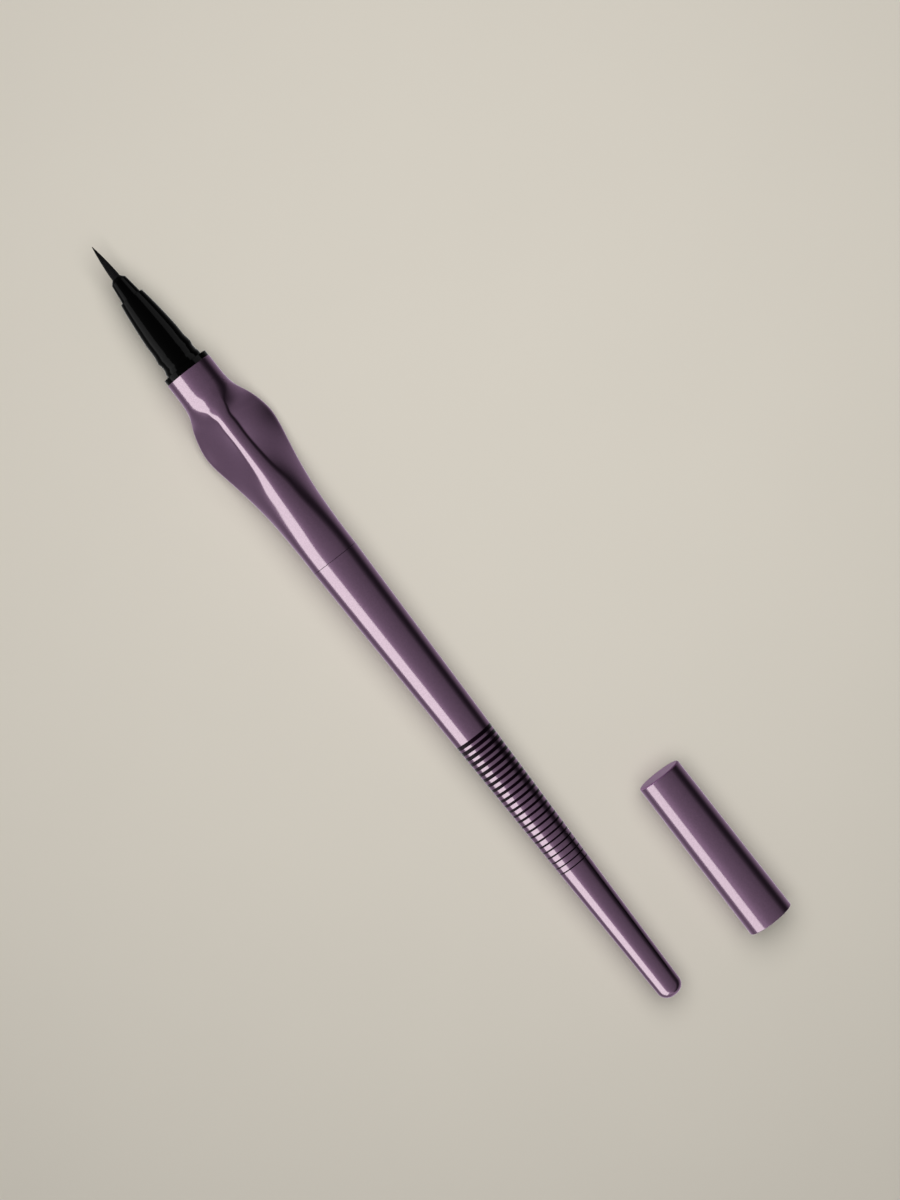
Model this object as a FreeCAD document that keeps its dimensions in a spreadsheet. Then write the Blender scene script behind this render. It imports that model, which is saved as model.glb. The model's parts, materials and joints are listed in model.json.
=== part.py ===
"""Liquid eyeliner pen with its cap taken off, in millimetres.

The pen's axis is X and the brush points along +X. The origin is on that axis, on the shoulder
where the cap's rim stops. The grip has three ridges: one is on top (+Z), and the pen lies on the
other two. The cap lies beside the pen, parallel to it, with its closed end towards the brush.
"""
import FreeCAD
import Part
import Sketcher
import os
from math import cos, radians, sin, sqrt
from types import SimpleNamespace

# The driving dimensions, which become the cells of the sheet.
SIZES = {
    # Clearances shared by all the pieces
    "fit_gap": 0.02,
    "cap_clearance": 0.05,
    "loose_gap": 0.1,
    "cut_overrun": 1.0,
    # Fibre brush
    "brush_length": 6.65,
    "brush_radius": 0.79,
    "brush_point_radius": 0.06,
    "brush_bulge": 0.13,
    "brush_root_length": 5.9,
    "brush_flange_radius": 1.3,
    "brush_flange_thickness": 0.8,
    # Holder of the brush, with its visible stage
    "stage_length": 4.05,
    "stage_base_radius": 1.85,
    "stage_front_radius": 1.42,
    "stage_edge": 0.56,
    "holder_body_length": 5.0,
    "holder_flange_radius": 2.1,
    "holder_flange_thickness": 1.0,
    # Nose cone, from the shoulder forwards and then backwards
    "land_length": 0.9,
    "land_radius": 3.45,
    "notch_length": 1.1,
    "notch_radius": 3.21,
    "bead_length": 2.2,
    "bead_radius": 3.37,
    "neck_length": 1.95,
    "neck_radius": 3.14,
    "cone_length": 8.35,
    "cone_front_radius": 2.23,
    "cone_bulge": 0.08,
    "cone_edge": 0.14,
    "flange_thickness": 1.1,
    "flange_radius": 4.36,
    "flange_edge": 0.15,
    "skirt_length": 7.9,
    # Ink feed and tank
    "wick_radius": 0.7,
    "wick_overhang": 2.0,
    "collector_boss_length": 9.5,
    "collector_core_radius": 1.2,
    "collector_collar_length": 2.0,
    "fin_pitch": 0.85,
    "fin_thickness": 0.35,
    "tube_entry": 0.5,
    "tube_length": 66.5,
    "tube_radius": 2.72,
    "tube_wall": 0.47,
    "plug_length": 3.0,
    "plug_head_thickness": 1.0,
    "ball_radius": 1.6,
    # Grip sleeve
    "grip_length": 40.1,
    "grip_bore_radius": 3.1,
    "ridge_reach": 7.756,
    "ridge_round": 1.64,
    "dish_radius": 38.0,
    "grip_edge": 0.12,
    # Barrel
    "barrel_length": 94.6,
    "barrel_radius": 4.44,
    "barrel_edge": 0.12,
    "tail_radius": 2.33,
    "tail_round": 1.95,
    "tail_wall": 7.0,
    "core_radius": 1.35,
    "spigot_length": 6.0,
    "spigot_radius": 3.6,
    # Cap shell and its place beside the pen
    "cap_length": 31.5,
    "cap_rim_radius": 4.32,
    "cap_end_radius": 4.11,
    "cap_wall": 0.35,
    "cap_end_wall": 0.8,
    "cap_edge": 0.35,
    "cap_rim_edge": 0.12,
    "cap_spacing": 20.8,
    "cap_lag": 0.03,
    # Inside of the cap
    "liner_recess": 0.25,
    "mouth_depth": 7.0,
    "snap_hold": 0.1,
    "snap_rib_length": 0.5,
    "inner_cap_rim_depth": 10.9,
    "inner_cap_radius": 3.1,
    "inner_cap_wall": 0.5,
    "inner_cap_end_wall": 0.8,
    "inner_cap_flange_radius": 3.3,
    "inner_cap_flange_thickness": 0.8,
    "inner_cap_head_length": 2.0,
    "inner_cap_lip": 0.25,
    "spring_length": 3.4,
    "spring_radius": 1.9,
    "spring_wire_radius": 0.15,
}
FIN_COUNT = 18
SPRING_TURNS = 4
# Degrees round the grip from +Y to the crest of each ridge, and from a ridge to the next.
RIDGE_ANGLES = (90, 210, 330)
RIDGE_STEP = 120
# The grip's cross-sections: where each lies along the grip, and how far it has swollen from a
# round section (0) to the full three-sided one (1).
GRIP_PLACE_SHARES = (0, 0.052, 0.105, 0.137, 0.172, 0.206, 0.239, 0.28, 0.34,
                     0.42, 0.52, 0.62, 0.74, 0.86, 0.94, 1)
GRIP_SWELL_SHARES = (0.012, 0.014, 0.034, 0.09, 0.238, 0.471, 0.685, 0.872, 1,
                     0.88, 0.578, 0.325, 0.124, 0.034, 0.014, 0.012)


class Size:
    """A length worked out from the sheet, kept as the text of its formula."""

    def __init__(self, formula):
        self.formula = formula

    def __str__(self):
        return self.formula

    def __add__(self, other):
        return Size(f"({self} + {other})")

    def __sub__(self, other):
        return Size(f"({self} - {other})")

    def __rsub__(self, other):
        return Size(f"({other} - {self})")

    def __mul__(self, other):
        return Size(f"({self} * {other})")

    def __truediv__(self, other):
        return Size(f"({self} / {other})")

    def __neg__(self):
        return Size(f"(-{self})")


doc = FreeCAD.newDocument("EyelinerPen")
sheet = doc.addObject("Spreadsheet::Sheet", "Sizes")
for row, (name, length) in enumerate(SIZES.items(), start=1):
    sheet.set(f"A{row}", name)
    sheet.set(f"B{row}", str(length))
    sheet.setAlias(f"B{row}", name)
doc.recompute()
pen = SimpleNamespace(**{name: Size(f"Sizes.{name}") for name in SIZES})

# Places along the pen that several pieces share.
cone_front = pen.land_length + pen.notch_length + pen.bead_length + pen.neck_length + pen.cone_length
stage_front = cone_front + pen.stage_length
holder_seat = cone_front - pen.holder_body_length
holder_rear = holder_seat - pen.holder_flange_thickness
brush_rear = stage_front - pen.brush_root_length - pen.brush_flange_thickness
tube_rear = pen.tube_entry - pen.tube_length
plug_front = tube_rear + pen.plug_length
plug_rear = tube_rear - pen.plug_head_thickness
grip_front = -pen.flange_thickness
seam = grip_front - pen.grip_length
tail_end = seam - pen.barrel_length

# Radii that fit one piece to another.
tube_inner = pen.tube_radius - pen.tube_wall
tube_socket = pen.tube_radius + pen.fit_gap
brush_seat_radius = pen.brush_flange_radius + pen.fit_gap
wick_bore = pen.wick_radius + pen.fit_gap
holder_flange_bore = pen.holder_flange_radius + pen.fit_gap

# Lengths of the collector and the place where the wick ends.
fins_length = pen.fin_pitch * FIN_COUNT
collector_rear = holder_rear - pen.collector_boss_length - fins_length - pen.collector_collar_length
wick_rear = collector_rear - pen.wick_overhang

# The cap lies on the same surface as the two lower ridges.
ridge_depth = (pen.ridge_reach - pen.ridge_round) / 2 + pen.ridge_round
cap_place = (tail_end - pen.cap_lag, -pen.cap_spacing, pen.cap_rim_radius - ridge_depth)
cap_inner_end = pen.cap_length - pen.cap_end_wall
inner_cap_end = cap_inner_end - pen.spring_length
inner_cap_length = inner_cap_end - pen.inner_cap_rim_depth
inner_cap_flange = inner_cap_length - pen.inner_cap_head_length - pen.inner_cap_flange_thickness


def value(size):
    """The number that a size stands for at present."""
    return float(sheet.evalExpression(str(size)))


def bow(run, rise, bulge):
    """Radius of the arc that swells by bulge over a chord with this run and rise."""
    return ((run * run + rise * rise) / 4 + bulge * bulge) / (bulge * 2)


def bind(sketch, constraint, size):
    """Add a constraint whose number follows a size."""
    index = sketch.addConstraint(constraint)
    sketch.setExpression(f"Constraints[{index}]", str(size))


def new_body(name, place=(0, 0, 0)):
    """An empty body, placed where its sizes say."""
    body = doc.addObject("PartDesign::Body", name)
    body.Label = name
    for axis, size in zip("xyz", place):
        body.setExpression(f"Placement.Base.{axis}", str(size))
    return body


def new_sketch(body, name, plane):
    """A sketch on one of the body's own planes."""
    sketch = body.newObject("Sketcher::SketchObject", name)
    support = [feature for feature in body.Origin.OriginFeatures if feature.Role == plane]
    sketch.AttachmentSupport = [(support[0], "")]
    sketch.MapMode = "FlatFace"
    return sketch


def outline_edge(start, end, radius):
    """A straight edge, or an arc that swells to the left of the way from start to end."""
    if radius is None:
        return Part.LineSegment(start, end)
    chord = end - start
    half = chord.Length / 2
    left = FreeCAD.Vector(-chord.y, chord.x, 0).normalize()
    bulge = radius - sqrt(radius * radius - half * half)
    return Part.ArcOfCircle(start, (start + end) / 2 + left * bulge, end)


def turned_sketch(body, name, outline):
    """Closed half section of a turned piece, clockwise, in corners of (place, radius from the axis).

    A third entry is the radius of an arc that leads from that corner to the next one.
    """
    sketch = new_sketch(body, name, "XY_Plane")
    corners = [FreeCAD.Vector(value(corner[0]), value(corner[1]), 0) for corner in outline]
    arcs = [corner[2] if len(corner) > 2 else None for corner in outline]
    count = len(outline)
    ends = []
    for index, arc in enumerate(arcs):
        radius = value(arc) if arc else None
        edge = outline_edge(corners[index], corners[(index + 1) % count], radius)
        sketch.addGeometry(edge, False)
        starts = [(sketch.getPoint(index, end) - corners[index]).Length for end in (1, 2)]
        ends.append((1, 2) if starts[0] < starts[1] else (2, 1))
    for index, (corner, arc) in enumerate(zip(outline, arcs)):
        after = (index + 1) % count
        sketch.addConstraint(Sketcher.Constraint("Coincident", index, ends[index][1], after, ends[after][0]))
        if corner[0] == 0:
            sketch.addConstraint(Sketcher.Constraint("PointOnObject", index, ends[index][0], -2))
        else:
            place = Sketcher.Constraint("DistanceX", -1, 1, index, ends[index][0], corners[index].x)
            bind(sketch, place, corner[0])
        if corner[1] == 0:
            sketch.addConstraint(Sketcher.Constraint("PointOnObject", index, ends[index][0], -1))
        else:
            height = Sketcher.Constraint("DistanceY", -1, 1, index, ends[index][0], corners[index].y)
            bind(sketch, height, corner[1])
        if arc:
            bind(sketch, Sketcher.Constraint("Radius", index, value(arc)), arc)
    return sketch


def turn(body, name, outline, feature="PartDesign::Revolution"):
    """Turn an outline about the body's X axis, to add it or, with a groove, to cut it."""
    sketch = turned_sketch(body, f"{name}_section", outline)
    turned = body.newObject(feature, name)
    turned.Profile = sketch
    turned.ReferenceAxis = (sketch, ["H_Axis"])
    return turned


def make_brush_tip():
    """Fibre brush: a swelling taper to a fine point, with a fused flange at its root."""
    body = new_body("brush_tip", (stage_front, 0, 0))
    root = -pen.brush_root_length
    rear = root - pen.brush_flange_thickness
    swell = bow(pen.brush_length, pen.brush_radius - pen.brush_point_radius, pen.brush_bulge)
    turn(body, "brush", [
        (rear, 0),
        (rear, pen.brush_flange_radius),
        (root, pen.brush_flange_radius),
        (root, pen.brush_radius),
        (0, pen.brush_radius, swell),
        (pen.brush_length, pen.brush_point_radius),
        (pen.brush_length, 0),
    ])
    return body


def make_tip_holder():
    """Holder of the brush: its stage stands out of the cone, and its flange locks behind it."""
    body = new_body("tip_holder", (cone_front, 0, 0))
    rear = holder_rear - cone_front
    bore = pen.brush_radius + pen.fit_gap
    brush_seat = pen.stage_length - pen.brush_root_length
    turn(body, "holder", [
        (rear, brush_seat_radius),
        (rear, pen.holder_flange_radius),
        (-pen.holder_body_length, pen.holder_flange_radius),
        (-pen.holder_body_length, pen.stage_base_radius),
        (0, pen.stage_base_radius),
        (pen.stage_length - pen.stage_edge, pen.stage_front_radius),
        (pen.stage_length, pen.stage_front_radius - pen.stage_edge),
        (pen.stage_length, bore),
        (brush_seat, bore),
        (brush_seat, brush_seat_radius),
    ])
    return body


def make_nose_cone():
    """Black nose: cone, snap bead, notch, land and flange, with a skirt inside the grip."""
    body = new_body("nose_cone")
    skirt_rear = grip_front - pen.skirt_length
    skirt_radius = pen.grip_bore_radius - pen.fit_gap
    stage_bore = pen.stage_base_radius + pen.fit_gap
    bead_rear = pen.land_length + pen.notch_length
    bead_front = bead_rear + pen.bead_length
    bead_height = pen.bead_radius - (pen.notch_radius + pen.neck_radius) / 2
    bead = bow(pen.bead_length, pen.neck_radius - pen.notch_radius, bead_height)
    taper = bow(pen.cone_length - pen.cone_edge, pen.neck_radius - pen.cone_front_radius, pen.cone_bulge)
    turn(body, "nose", [
        (skirt_rear, tube_socket),
        (skirt_rear, skirt_radius),
        (grip_front, skirt_radius),
        (grip_front, pen.flange_radius),
        (-pen.flange_edge, pen.flange_radius),
        (0, pen.flange_radius - pen.flange_edge),
        (0, pen.land_radius),
        (pen.land_length, pen.land_radius),
        (pen.land_length, pen.notch_radius),
        (bead_rear, pen.notch_radius, bead),
        (bead_front, pen.neck_radius),
        (bead_front + pen.neck_length, pen.neck_radius, taper),
        (cone_front - pen.cone_edge, pen.cone_front_radius),
        (cone_front, pen.cone_front_radius - pen.cone_edge),
        (cone_front, stage_bore),
        (holder_seat, stage_bore),
        (holder_seat, holder_flange_bore),
        (pen.tube_entry, holder_flange_bore),
        (pen.tube_entry, tube_socket),
    ])
    return body


def make_feed_wick():
    """Fibre core that carries the ink from the tank to the root of the brush."""
    body = new_body("feed_wick", (brush_rear, 0, 0))
    length = brush_rear - wick_rear
    turn(body, "wick", [(-length, 0), (-length, pen.wick_radius), (0, pen.wick_radius), (0, 0)])
    return body


def make_ink_collector():
    """Comb around the wick: a nozzle, a boss, a row of thin fins and a rear collar."""
    body = new_body("ink_collector", (holder_rear, 0, 0))
    nozzle_front = brush_rear - holder_rear
    fins_front = -pen.collector_boss_length
    fins_rear = fins_front - fins_length
    rear = fins_rear - pen.collector_collar_length
    rim = tube_inner - pen.fit_gap
    turn(body, "core", [
        (rear, wick_bore),
        (rear, rim),
        (fins_rear, rim),
        (fins_rear, pen.collector_core_radius),
        (fins_front, pen.collector_core_radius),
        (fins_front, pen.holder_flange_radius),
        (0, pen.holder_flange_radius),
        (0, pen.brush_flange_radius),
        (nozzle_front, pen.brush_flange_radius),
        (nozzle_front, wick_bore),
    ])
    first_rear = fins_front - pen.fin_pitch
    first_front = first_rear + pen.fin_thickness
    fin = turn(body, "fin", [
        (first_rear, wick_bore),
        (first_rear, rim),
        (first_front, rim),
        (first_front, wick_bore),
    ])
    row = body.newObject("PartDesign::LinearPattern", "fin_row")
    row.Originals = [fin]
    row.Direction = (fin.Profile[0], ["H_Axis"])
    row.Reversed = True
    row.Occurrences = FIN_COUNT - 1
    row.setExpression("Length", str(pen.fin_pitch * (FIN_COUNT - 2)))
    body.Tip = row
    return body


def make_ink_tube():
    """Tank: an open tube from the socket in the nose to its plug in the barrel."""
    body = new_body("ink_tube", (pen.tube_entry, 0, 0))
    turn(body, "tube", [
        (-pen.tube_length, tube_inner),
        (-pen.tube_length, pen.tube_radius),
        (0, pen.tube_radius),
        (0, tube_inner),
    ])
    return body


def make_tube_plug():
    """Stopper in the rear end of the tank, with a head as wide as the tube."""
    body = new_body("tube_plug", (tube_rear, 0, 0))
    stem = tube_inner - pen.fit_gap
    turn(body, "plug", [
        (-pen.plug_head_thickness, 0),
        (-pen.plug_head_thickness, pen.tube_radius),
        (0, pen.tube_radius),
        (0, stem),
        (pen.plug_length, stem),
        (pen.plug_length, 0),
    ])
    return body


def make_mixing_ball():
    """Loose steel ball that lies in the bottom of the tank, by the plug."""
    ball = doc.addObject("Part::Sphere", "mixing_ball")
    ball.Label = "mixing_ball"
    ball.setExpression("Radius", str(pen.ball_radius))
    ball.setExpression("Placement.Base.x", str(plug_front + pen.ball_radius + pen.loose_gap))
    ball.setExpression("Placement.Base.z", str(pen.ball_radius + pen.loose_gap - tube_inner))
    return ball


def pointing(degrees):
    """Unit vector in a cross-section, at an angle from its first axis."""
    return FreeCAD.Vector(cos(radians(degrees)), sin(radians(degrees)), 0)


def grip_section(body, number, place_share, swell_share):
    """Cross-section of the grip: three rounded ridges with a shallow dish between each two."""
    sketch = new_sketch(body, f"section_{number}", "YZ_Plane")
    sketch.setExpression("AttachmentOffset.Base.z", str(-pen.grip_length * place_share))
    plain = pen.flange_radius + (pen.barrel_radius - pen.flange_radius) * place_share
    ridge_radius = plain + (pen.ridge_round - plain) * swell_share
    ridge_centre = (pen.ridge_reach - pen.ridge_round) * swell_share
    centre, rounding, hollow = value(ridge_centre), value(ridge_radius), value(pen.dish_radius)
    dish_centre = (centre + sqrt(4 * (hollow + rounding) ** 2 - 3 * centre ** 2)) / 2
    for angle in RIDGE_ANGLES:
        crest = pointing(angle)
        before, after = pointing(angle - RIDGE_STEP / 2), pointing(angle + RIDGE_STEP / 2)
        flanks = [crest * centre + (valley * dish_centre - crest * centre).normalize() * rounding
                  for valley in (before, after)]
        across = flanks[1] - after * flanks[1].dot(after)
        sketch.addGeometry(Part.ArcOfCircle(flanks[0], crest * (centre + rounding), flanks[1]), False)
        dish_floor = after * (dish_centre - hollow)
        sketch.addGeometry(Part.ArcOfCircle(flanks[1], dish_floor, flanks[1] - across * 2), False)
    edges = 2 * len(RIDGE_ANGLES)
    for ridge, angle in zip(range(0, edges, 2), RIDGE_ANGLES):
        dish, following = ridge + 1, (ridge + 2) % edges
        sketch.addConstraint(Sketcher.Constraint("Tangent", ridge, 2, dish, 2))
        sketch.addConstraint(Sketcher.Constraint("Tangent", dish, 1, following, 1))
        bind(sketch, Sketcher.Constraint("Radius", ridge, rounding), ridge_radius)
        bind(sketch, Sketcher.Constraint("Radius", dish, hollow), pen.dish_radius)
        spot = pointing(angle)
        height = Sketcher.Constraint("DistanceY", -1, 1, ridge, 3, spot.y * centre)
        bind(sketch, height, ridge_centre * spot.y)
        if angle == RIDGE_ANGLES[0]:
            sketch.addConstraint(Sketcher.Constraint("PointOnObject", ridge, 3, -2))
        else:
            place = Sketcher.Constraint("DistanceX", -1, 1, ridge, 3, spot.x * centre)
            bind(sketch, place, ridge_centre * spot.x)
    return sketch


def make_grip_sleeve():
    """Three-sided grip, swelling from a round collar and fading into the barrel's round."""
    body = new_body("grip_sleeve", (grip_front, 0, 0))
    shares = zip(GRIP_PLACE_SHARES, GRIP_SWELL_SHARES)
    sections = [grip_section(body, number, *share) for number, share in enumerate(shares)]
    form = body.newObject("PartDesign::AdditiveLoft", "grip_form")
    form.Profile = sections[0]
    form.Sections = sections[1:]
    rear = -pen.grip_length - pen.cut_overrun
    step = pen.spigot_length - pen.grip_length
    spigot_bore = pen.spigot_radius + pen.fit_gap
    turn(body, "grip_bore", [
        (rear, 0),
        (rear, spigot_bore),
        (step, spigot_bore),
        (step, pen.grip_bore_radius),
        (pen.cut_overrun, pen.grip_bore_radius),
        (pen.cut_overrun, 0),
    ], "PartDesign::Groove")
    rims = (("front_edge", 0, -pen.grip_edge, pen.flange_radius),
            ("rear_edge", -pen.grip_length, pen.grip_edge, pen.barrel_radius))
    for name, face, inwards, radius in rims:
        turn(body, name, [
            (face, radius - pen.grip_edge),
            (face, radius + pen.grip_edge),
            (inwards * 2 + face, radius + pen.grip_edge),
        ], "PartDesign::Groove")
    return body


def make_barrel():
    """Tapered handle: a spigot in the grip, a bore that holds the tank, and a rounded tail."""
    body = new_body("barrel", (seam, 0, 0))
    end = -pen.barrel_length
    tail_core = end + pen.tail_wall
    tank_stop = plug_rear - seam
    turn(body, "handle", [
        (end, 0),
        (end, pen.tail_radius - pen.tail_round, pen.tail_round),
        (end + pen.tail_round, pen.tail_radius),
        (-pen.barrel_edge, pen.barrel_radius),
        (0, pen.barrel_radius - pen.barrel_edge),
        (0, pen.spigot_radius),
        (pen.spigot_length, pen.spigot_radius),
        (pen.spigot_length, tube_socket),
        (tank_stop, tube_socket),
        (tank_stop, pen.core_radius),
        (tail_core, pen.core_radius),
        (tail_core, 0),
    ])
    return body


def make_cap_shell():
    """Outer shell of the cap: a slight taper to a flat closed end with a rounded edge."""
    body = new_body("cap_shell", cap_place)
    end_inner = pen.cap_end_radius - pen.cap_wall
    turn(body, "shell", [
        (0, pen.cap_rim_radius - pen.cap_wall),
        (0, pen.cap_rim_radius - pen.cap_rim_edge),
        (pen.cap_rim_edge, pen.cap_rim_radius),
        (pen.cap_length - pen.cap_edge, pen.cap_end_radius, pen.cap_edge),
        (pen.cap_length, pen.cap_end_radius - pen.cap_edge),
        (pen.cap_length, 0),
        (cap_inner_end, 0),
        (cap_inner_end, end_inner),
    ])
    return body


def make_cap_liner():
    """Moulding inside the cap: a mouth with a snap rib, a guide for the cup, a spring chamber."""
    body = new_body("cap_liner", cap_place)
    taper = (pen.cap_rim_radius - pen.cap_end_radius) / cap_inner_end
    rim_outer = pen.cap_rim_radius - pen.cap_wall - pen.fit_gap - taper * pen.liner_recess
    end_outer = pen.cap_end_radius - pen.cap_wall - pen.fit_gap
    mouth = pen.land_radius + pen.cap_clearance
    guide = pen.inner_cap_radius + pen.cap_clearance
    chamber = pen.inner_cap_flange_radius + pen.cap_clearance
    chamber_front = pen.inner_cap_rim_depth + inner_cap_flange
    liner_end = cap_inner_end - pen.fit_gap
    rib_middle = pen.land_length + pen.notch_length / 2
    rib_height = mouth - pen.bead_radius + pen.snap_hold
    rib = bow(pen.snap_rib_length, 0, rib_height)
    turn(body, "liner", [
        (pen.liner_recess, mouth),
        (pen.liner_recess, rim_outer),
        (liner_end, end_outer),
        (liner_end, chamber),
        (chamber_front, chamber),
        (chamber_front, guide),
        (pen.mouth_depth, guide),
        (pen.mouth_depth, mouth),
        (rib_middle + pen.snap_rib_length / 2, mouth, rib),
        (rib_middle - pen.snap_rib_length / 2, mouth),
    ])
    return body


def make_inner_cap():
    """Sealing cup that slides in the liner: a lip for the cone, a stop flange and a closed head."""
    body = new_body("inner_cap", (cap_place[0] + pen.inner_cap_rim_depth, *cap_place[1:]))
    bore = pen.inner_cap_radius - pen.inner_cap_wall
    flange_rear = inner_cap_flange + pen.inner_cap_flange_thickness
    floor = inner_cap_length - pen.inner_cap_end_wall
    turn(body, "cup", [
        (0, bore + pen.inner_cap_lip),
        (0, pen.inner_cap_radius),
        (inner_cap_flange, pen.inner_cap_radius),
        (inner_cap_flange, pen.inner_cap_flange_radius),
        (flange_rear, pen.inner_cap_flange_radius),
        (flange_rear, pen.inner_cap_radius),
        (inner_cap_length, pen.inner_cap_radius),
        (inner_cap_length, 0),
        (floor, 0),
        (floor, bore),
        (pen.inner_cap_lip, bore),
    ])
    return body


def make_inner_cap_spring():
    """Coil between the cup's head and the cap's closed end."""
    body = new_body("inner_cap_spring", (cap_place[0] + inner_cap_end, *cap_place[1:]))
    seat = pen.spring_wire_radius + pen.fit_gap
    sketch = new_sketch(body, "wire_section", "XY_Plane")
    middle = FreeCAD.Vector(value(seat), value(pen.spring_radius), 0)
    wire_radius = value(pen.spring_wire_radius)
    sketch.addGeometry(Part.Circle(middle, FreeCAD.Vector(0, 0, 1), wire_radius), False)
    bind(sketch, Sketcher.Constraint("Radius", 0, wire_radius), pen.spring_wire_radius)
    bind(sketch, Sketcher.Constraint("DistanceX", -1, 1, 0, 3, middle.x), seat)
    bind(sketch, Sketcher.Constraint("DistanceY", -1, 1, 0, 3, middle.y), pen.spring_radius)
    doc.recompute()
    coil = body.newObject("PartDesign::AdditiveHelix", "coil")
    coil.Profile = sketch
    coil.ReferenceAxis = (sketch, ["H_Axis"])
    coil.Mode = "height-turns-angle"
    coil.Turns = SPRING_TURNS
    coil.setExpression("Height", str(pen.spring_length - seat * 2))
    return body


pieces = [
    make_brush_tip(),
    make_tip_holder(),
    make_nose_cone(),
    make_feed_wick(),
    make_ink_collector(),
    make_ink_tube(),
    make_tube_plug(),
    make_mixing_ball(),
    make_grip_sleeve(),
    make_barrel(),
    make_cap_shell(),
    make_cap_liner(),
    make_inner_cap(),
    make_inner_cap_spring(),
]
doc.recompute()

for item in doc.Objects:
    if "Invalid" in item.State or "Error" in item.State:
        raise RuntimeError(f"{item.Name} failed: {item.State}")
for piece in pieces:
    if piece.Shape.isNull() or not piece.Shape.isValid():
        raise RuntimeError(f"{piece.Label} has no valid shape")

os.makedirs("parts", exist_ok=True)
for piece in pieces:
    piece.Shape.exportStep(f"parts/{piece.Label}.step")
    print(f"{piece.Label}: {len(piece.Shape.Solids)} solid, {piece.Shape.Volume:.2f} mm3")
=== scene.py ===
"""Dresses a liquid eyeliner pen and its cap, and lays them on a pale floor under soft light."""

import json
import math
import random
from typing import NamedTuple

import bpy
from mathutils import Matrix, Vector
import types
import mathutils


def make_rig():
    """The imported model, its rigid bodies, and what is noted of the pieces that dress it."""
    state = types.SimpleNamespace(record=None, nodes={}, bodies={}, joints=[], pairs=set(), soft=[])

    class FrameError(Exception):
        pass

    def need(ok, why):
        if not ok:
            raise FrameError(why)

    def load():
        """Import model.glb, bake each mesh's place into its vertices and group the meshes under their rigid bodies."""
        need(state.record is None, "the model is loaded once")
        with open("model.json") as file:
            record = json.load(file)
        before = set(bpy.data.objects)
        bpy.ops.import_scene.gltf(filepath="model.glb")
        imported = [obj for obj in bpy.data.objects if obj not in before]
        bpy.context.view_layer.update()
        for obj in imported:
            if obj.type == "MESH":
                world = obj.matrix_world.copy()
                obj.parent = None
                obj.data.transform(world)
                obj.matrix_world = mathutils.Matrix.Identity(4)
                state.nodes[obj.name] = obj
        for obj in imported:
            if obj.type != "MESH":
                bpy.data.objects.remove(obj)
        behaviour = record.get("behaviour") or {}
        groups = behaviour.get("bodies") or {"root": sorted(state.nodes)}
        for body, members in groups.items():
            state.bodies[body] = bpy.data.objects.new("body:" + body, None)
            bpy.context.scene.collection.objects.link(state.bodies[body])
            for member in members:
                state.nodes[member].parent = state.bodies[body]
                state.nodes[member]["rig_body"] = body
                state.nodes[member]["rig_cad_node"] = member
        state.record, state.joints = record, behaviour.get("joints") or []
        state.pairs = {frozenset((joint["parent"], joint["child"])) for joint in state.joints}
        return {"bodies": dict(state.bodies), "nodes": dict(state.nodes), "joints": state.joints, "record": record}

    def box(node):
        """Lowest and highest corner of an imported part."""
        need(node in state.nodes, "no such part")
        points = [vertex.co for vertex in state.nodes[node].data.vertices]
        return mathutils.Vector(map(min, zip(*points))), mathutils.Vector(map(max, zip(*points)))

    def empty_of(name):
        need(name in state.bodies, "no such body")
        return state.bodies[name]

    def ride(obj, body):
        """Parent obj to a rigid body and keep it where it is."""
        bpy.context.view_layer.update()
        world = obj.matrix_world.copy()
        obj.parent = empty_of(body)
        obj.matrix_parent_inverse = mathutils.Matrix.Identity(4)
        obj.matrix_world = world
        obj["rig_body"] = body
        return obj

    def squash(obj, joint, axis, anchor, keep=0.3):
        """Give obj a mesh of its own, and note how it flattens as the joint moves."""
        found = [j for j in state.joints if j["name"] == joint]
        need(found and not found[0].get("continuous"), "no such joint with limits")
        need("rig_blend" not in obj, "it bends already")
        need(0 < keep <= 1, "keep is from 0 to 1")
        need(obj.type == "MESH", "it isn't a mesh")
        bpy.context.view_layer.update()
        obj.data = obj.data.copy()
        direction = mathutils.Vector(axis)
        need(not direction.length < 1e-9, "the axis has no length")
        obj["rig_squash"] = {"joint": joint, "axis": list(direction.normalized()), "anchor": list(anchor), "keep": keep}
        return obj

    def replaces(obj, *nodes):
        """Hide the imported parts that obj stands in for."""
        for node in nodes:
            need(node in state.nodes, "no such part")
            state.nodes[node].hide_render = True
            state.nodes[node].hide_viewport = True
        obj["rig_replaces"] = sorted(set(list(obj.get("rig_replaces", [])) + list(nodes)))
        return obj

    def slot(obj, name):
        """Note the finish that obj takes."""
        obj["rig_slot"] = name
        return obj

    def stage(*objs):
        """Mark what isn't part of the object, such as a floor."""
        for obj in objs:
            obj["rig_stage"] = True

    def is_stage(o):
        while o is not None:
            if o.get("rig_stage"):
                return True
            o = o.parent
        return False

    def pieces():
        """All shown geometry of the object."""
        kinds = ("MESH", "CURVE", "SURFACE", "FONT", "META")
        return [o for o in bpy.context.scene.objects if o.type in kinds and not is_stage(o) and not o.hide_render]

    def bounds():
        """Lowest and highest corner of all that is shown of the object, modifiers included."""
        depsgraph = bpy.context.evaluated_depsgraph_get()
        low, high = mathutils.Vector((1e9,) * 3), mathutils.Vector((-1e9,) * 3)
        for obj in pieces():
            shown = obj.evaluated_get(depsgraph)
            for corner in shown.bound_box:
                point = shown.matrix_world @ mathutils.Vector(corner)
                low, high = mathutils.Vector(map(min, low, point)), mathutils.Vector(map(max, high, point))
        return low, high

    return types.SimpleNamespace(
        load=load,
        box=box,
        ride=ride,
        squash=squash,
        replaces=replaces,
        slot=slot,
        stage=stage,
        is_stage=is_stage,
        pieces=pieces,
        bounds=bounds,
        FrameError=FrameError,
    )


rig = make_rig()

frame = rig.load()
cad_box = [list(corner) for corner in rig.bounds()]

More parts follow.
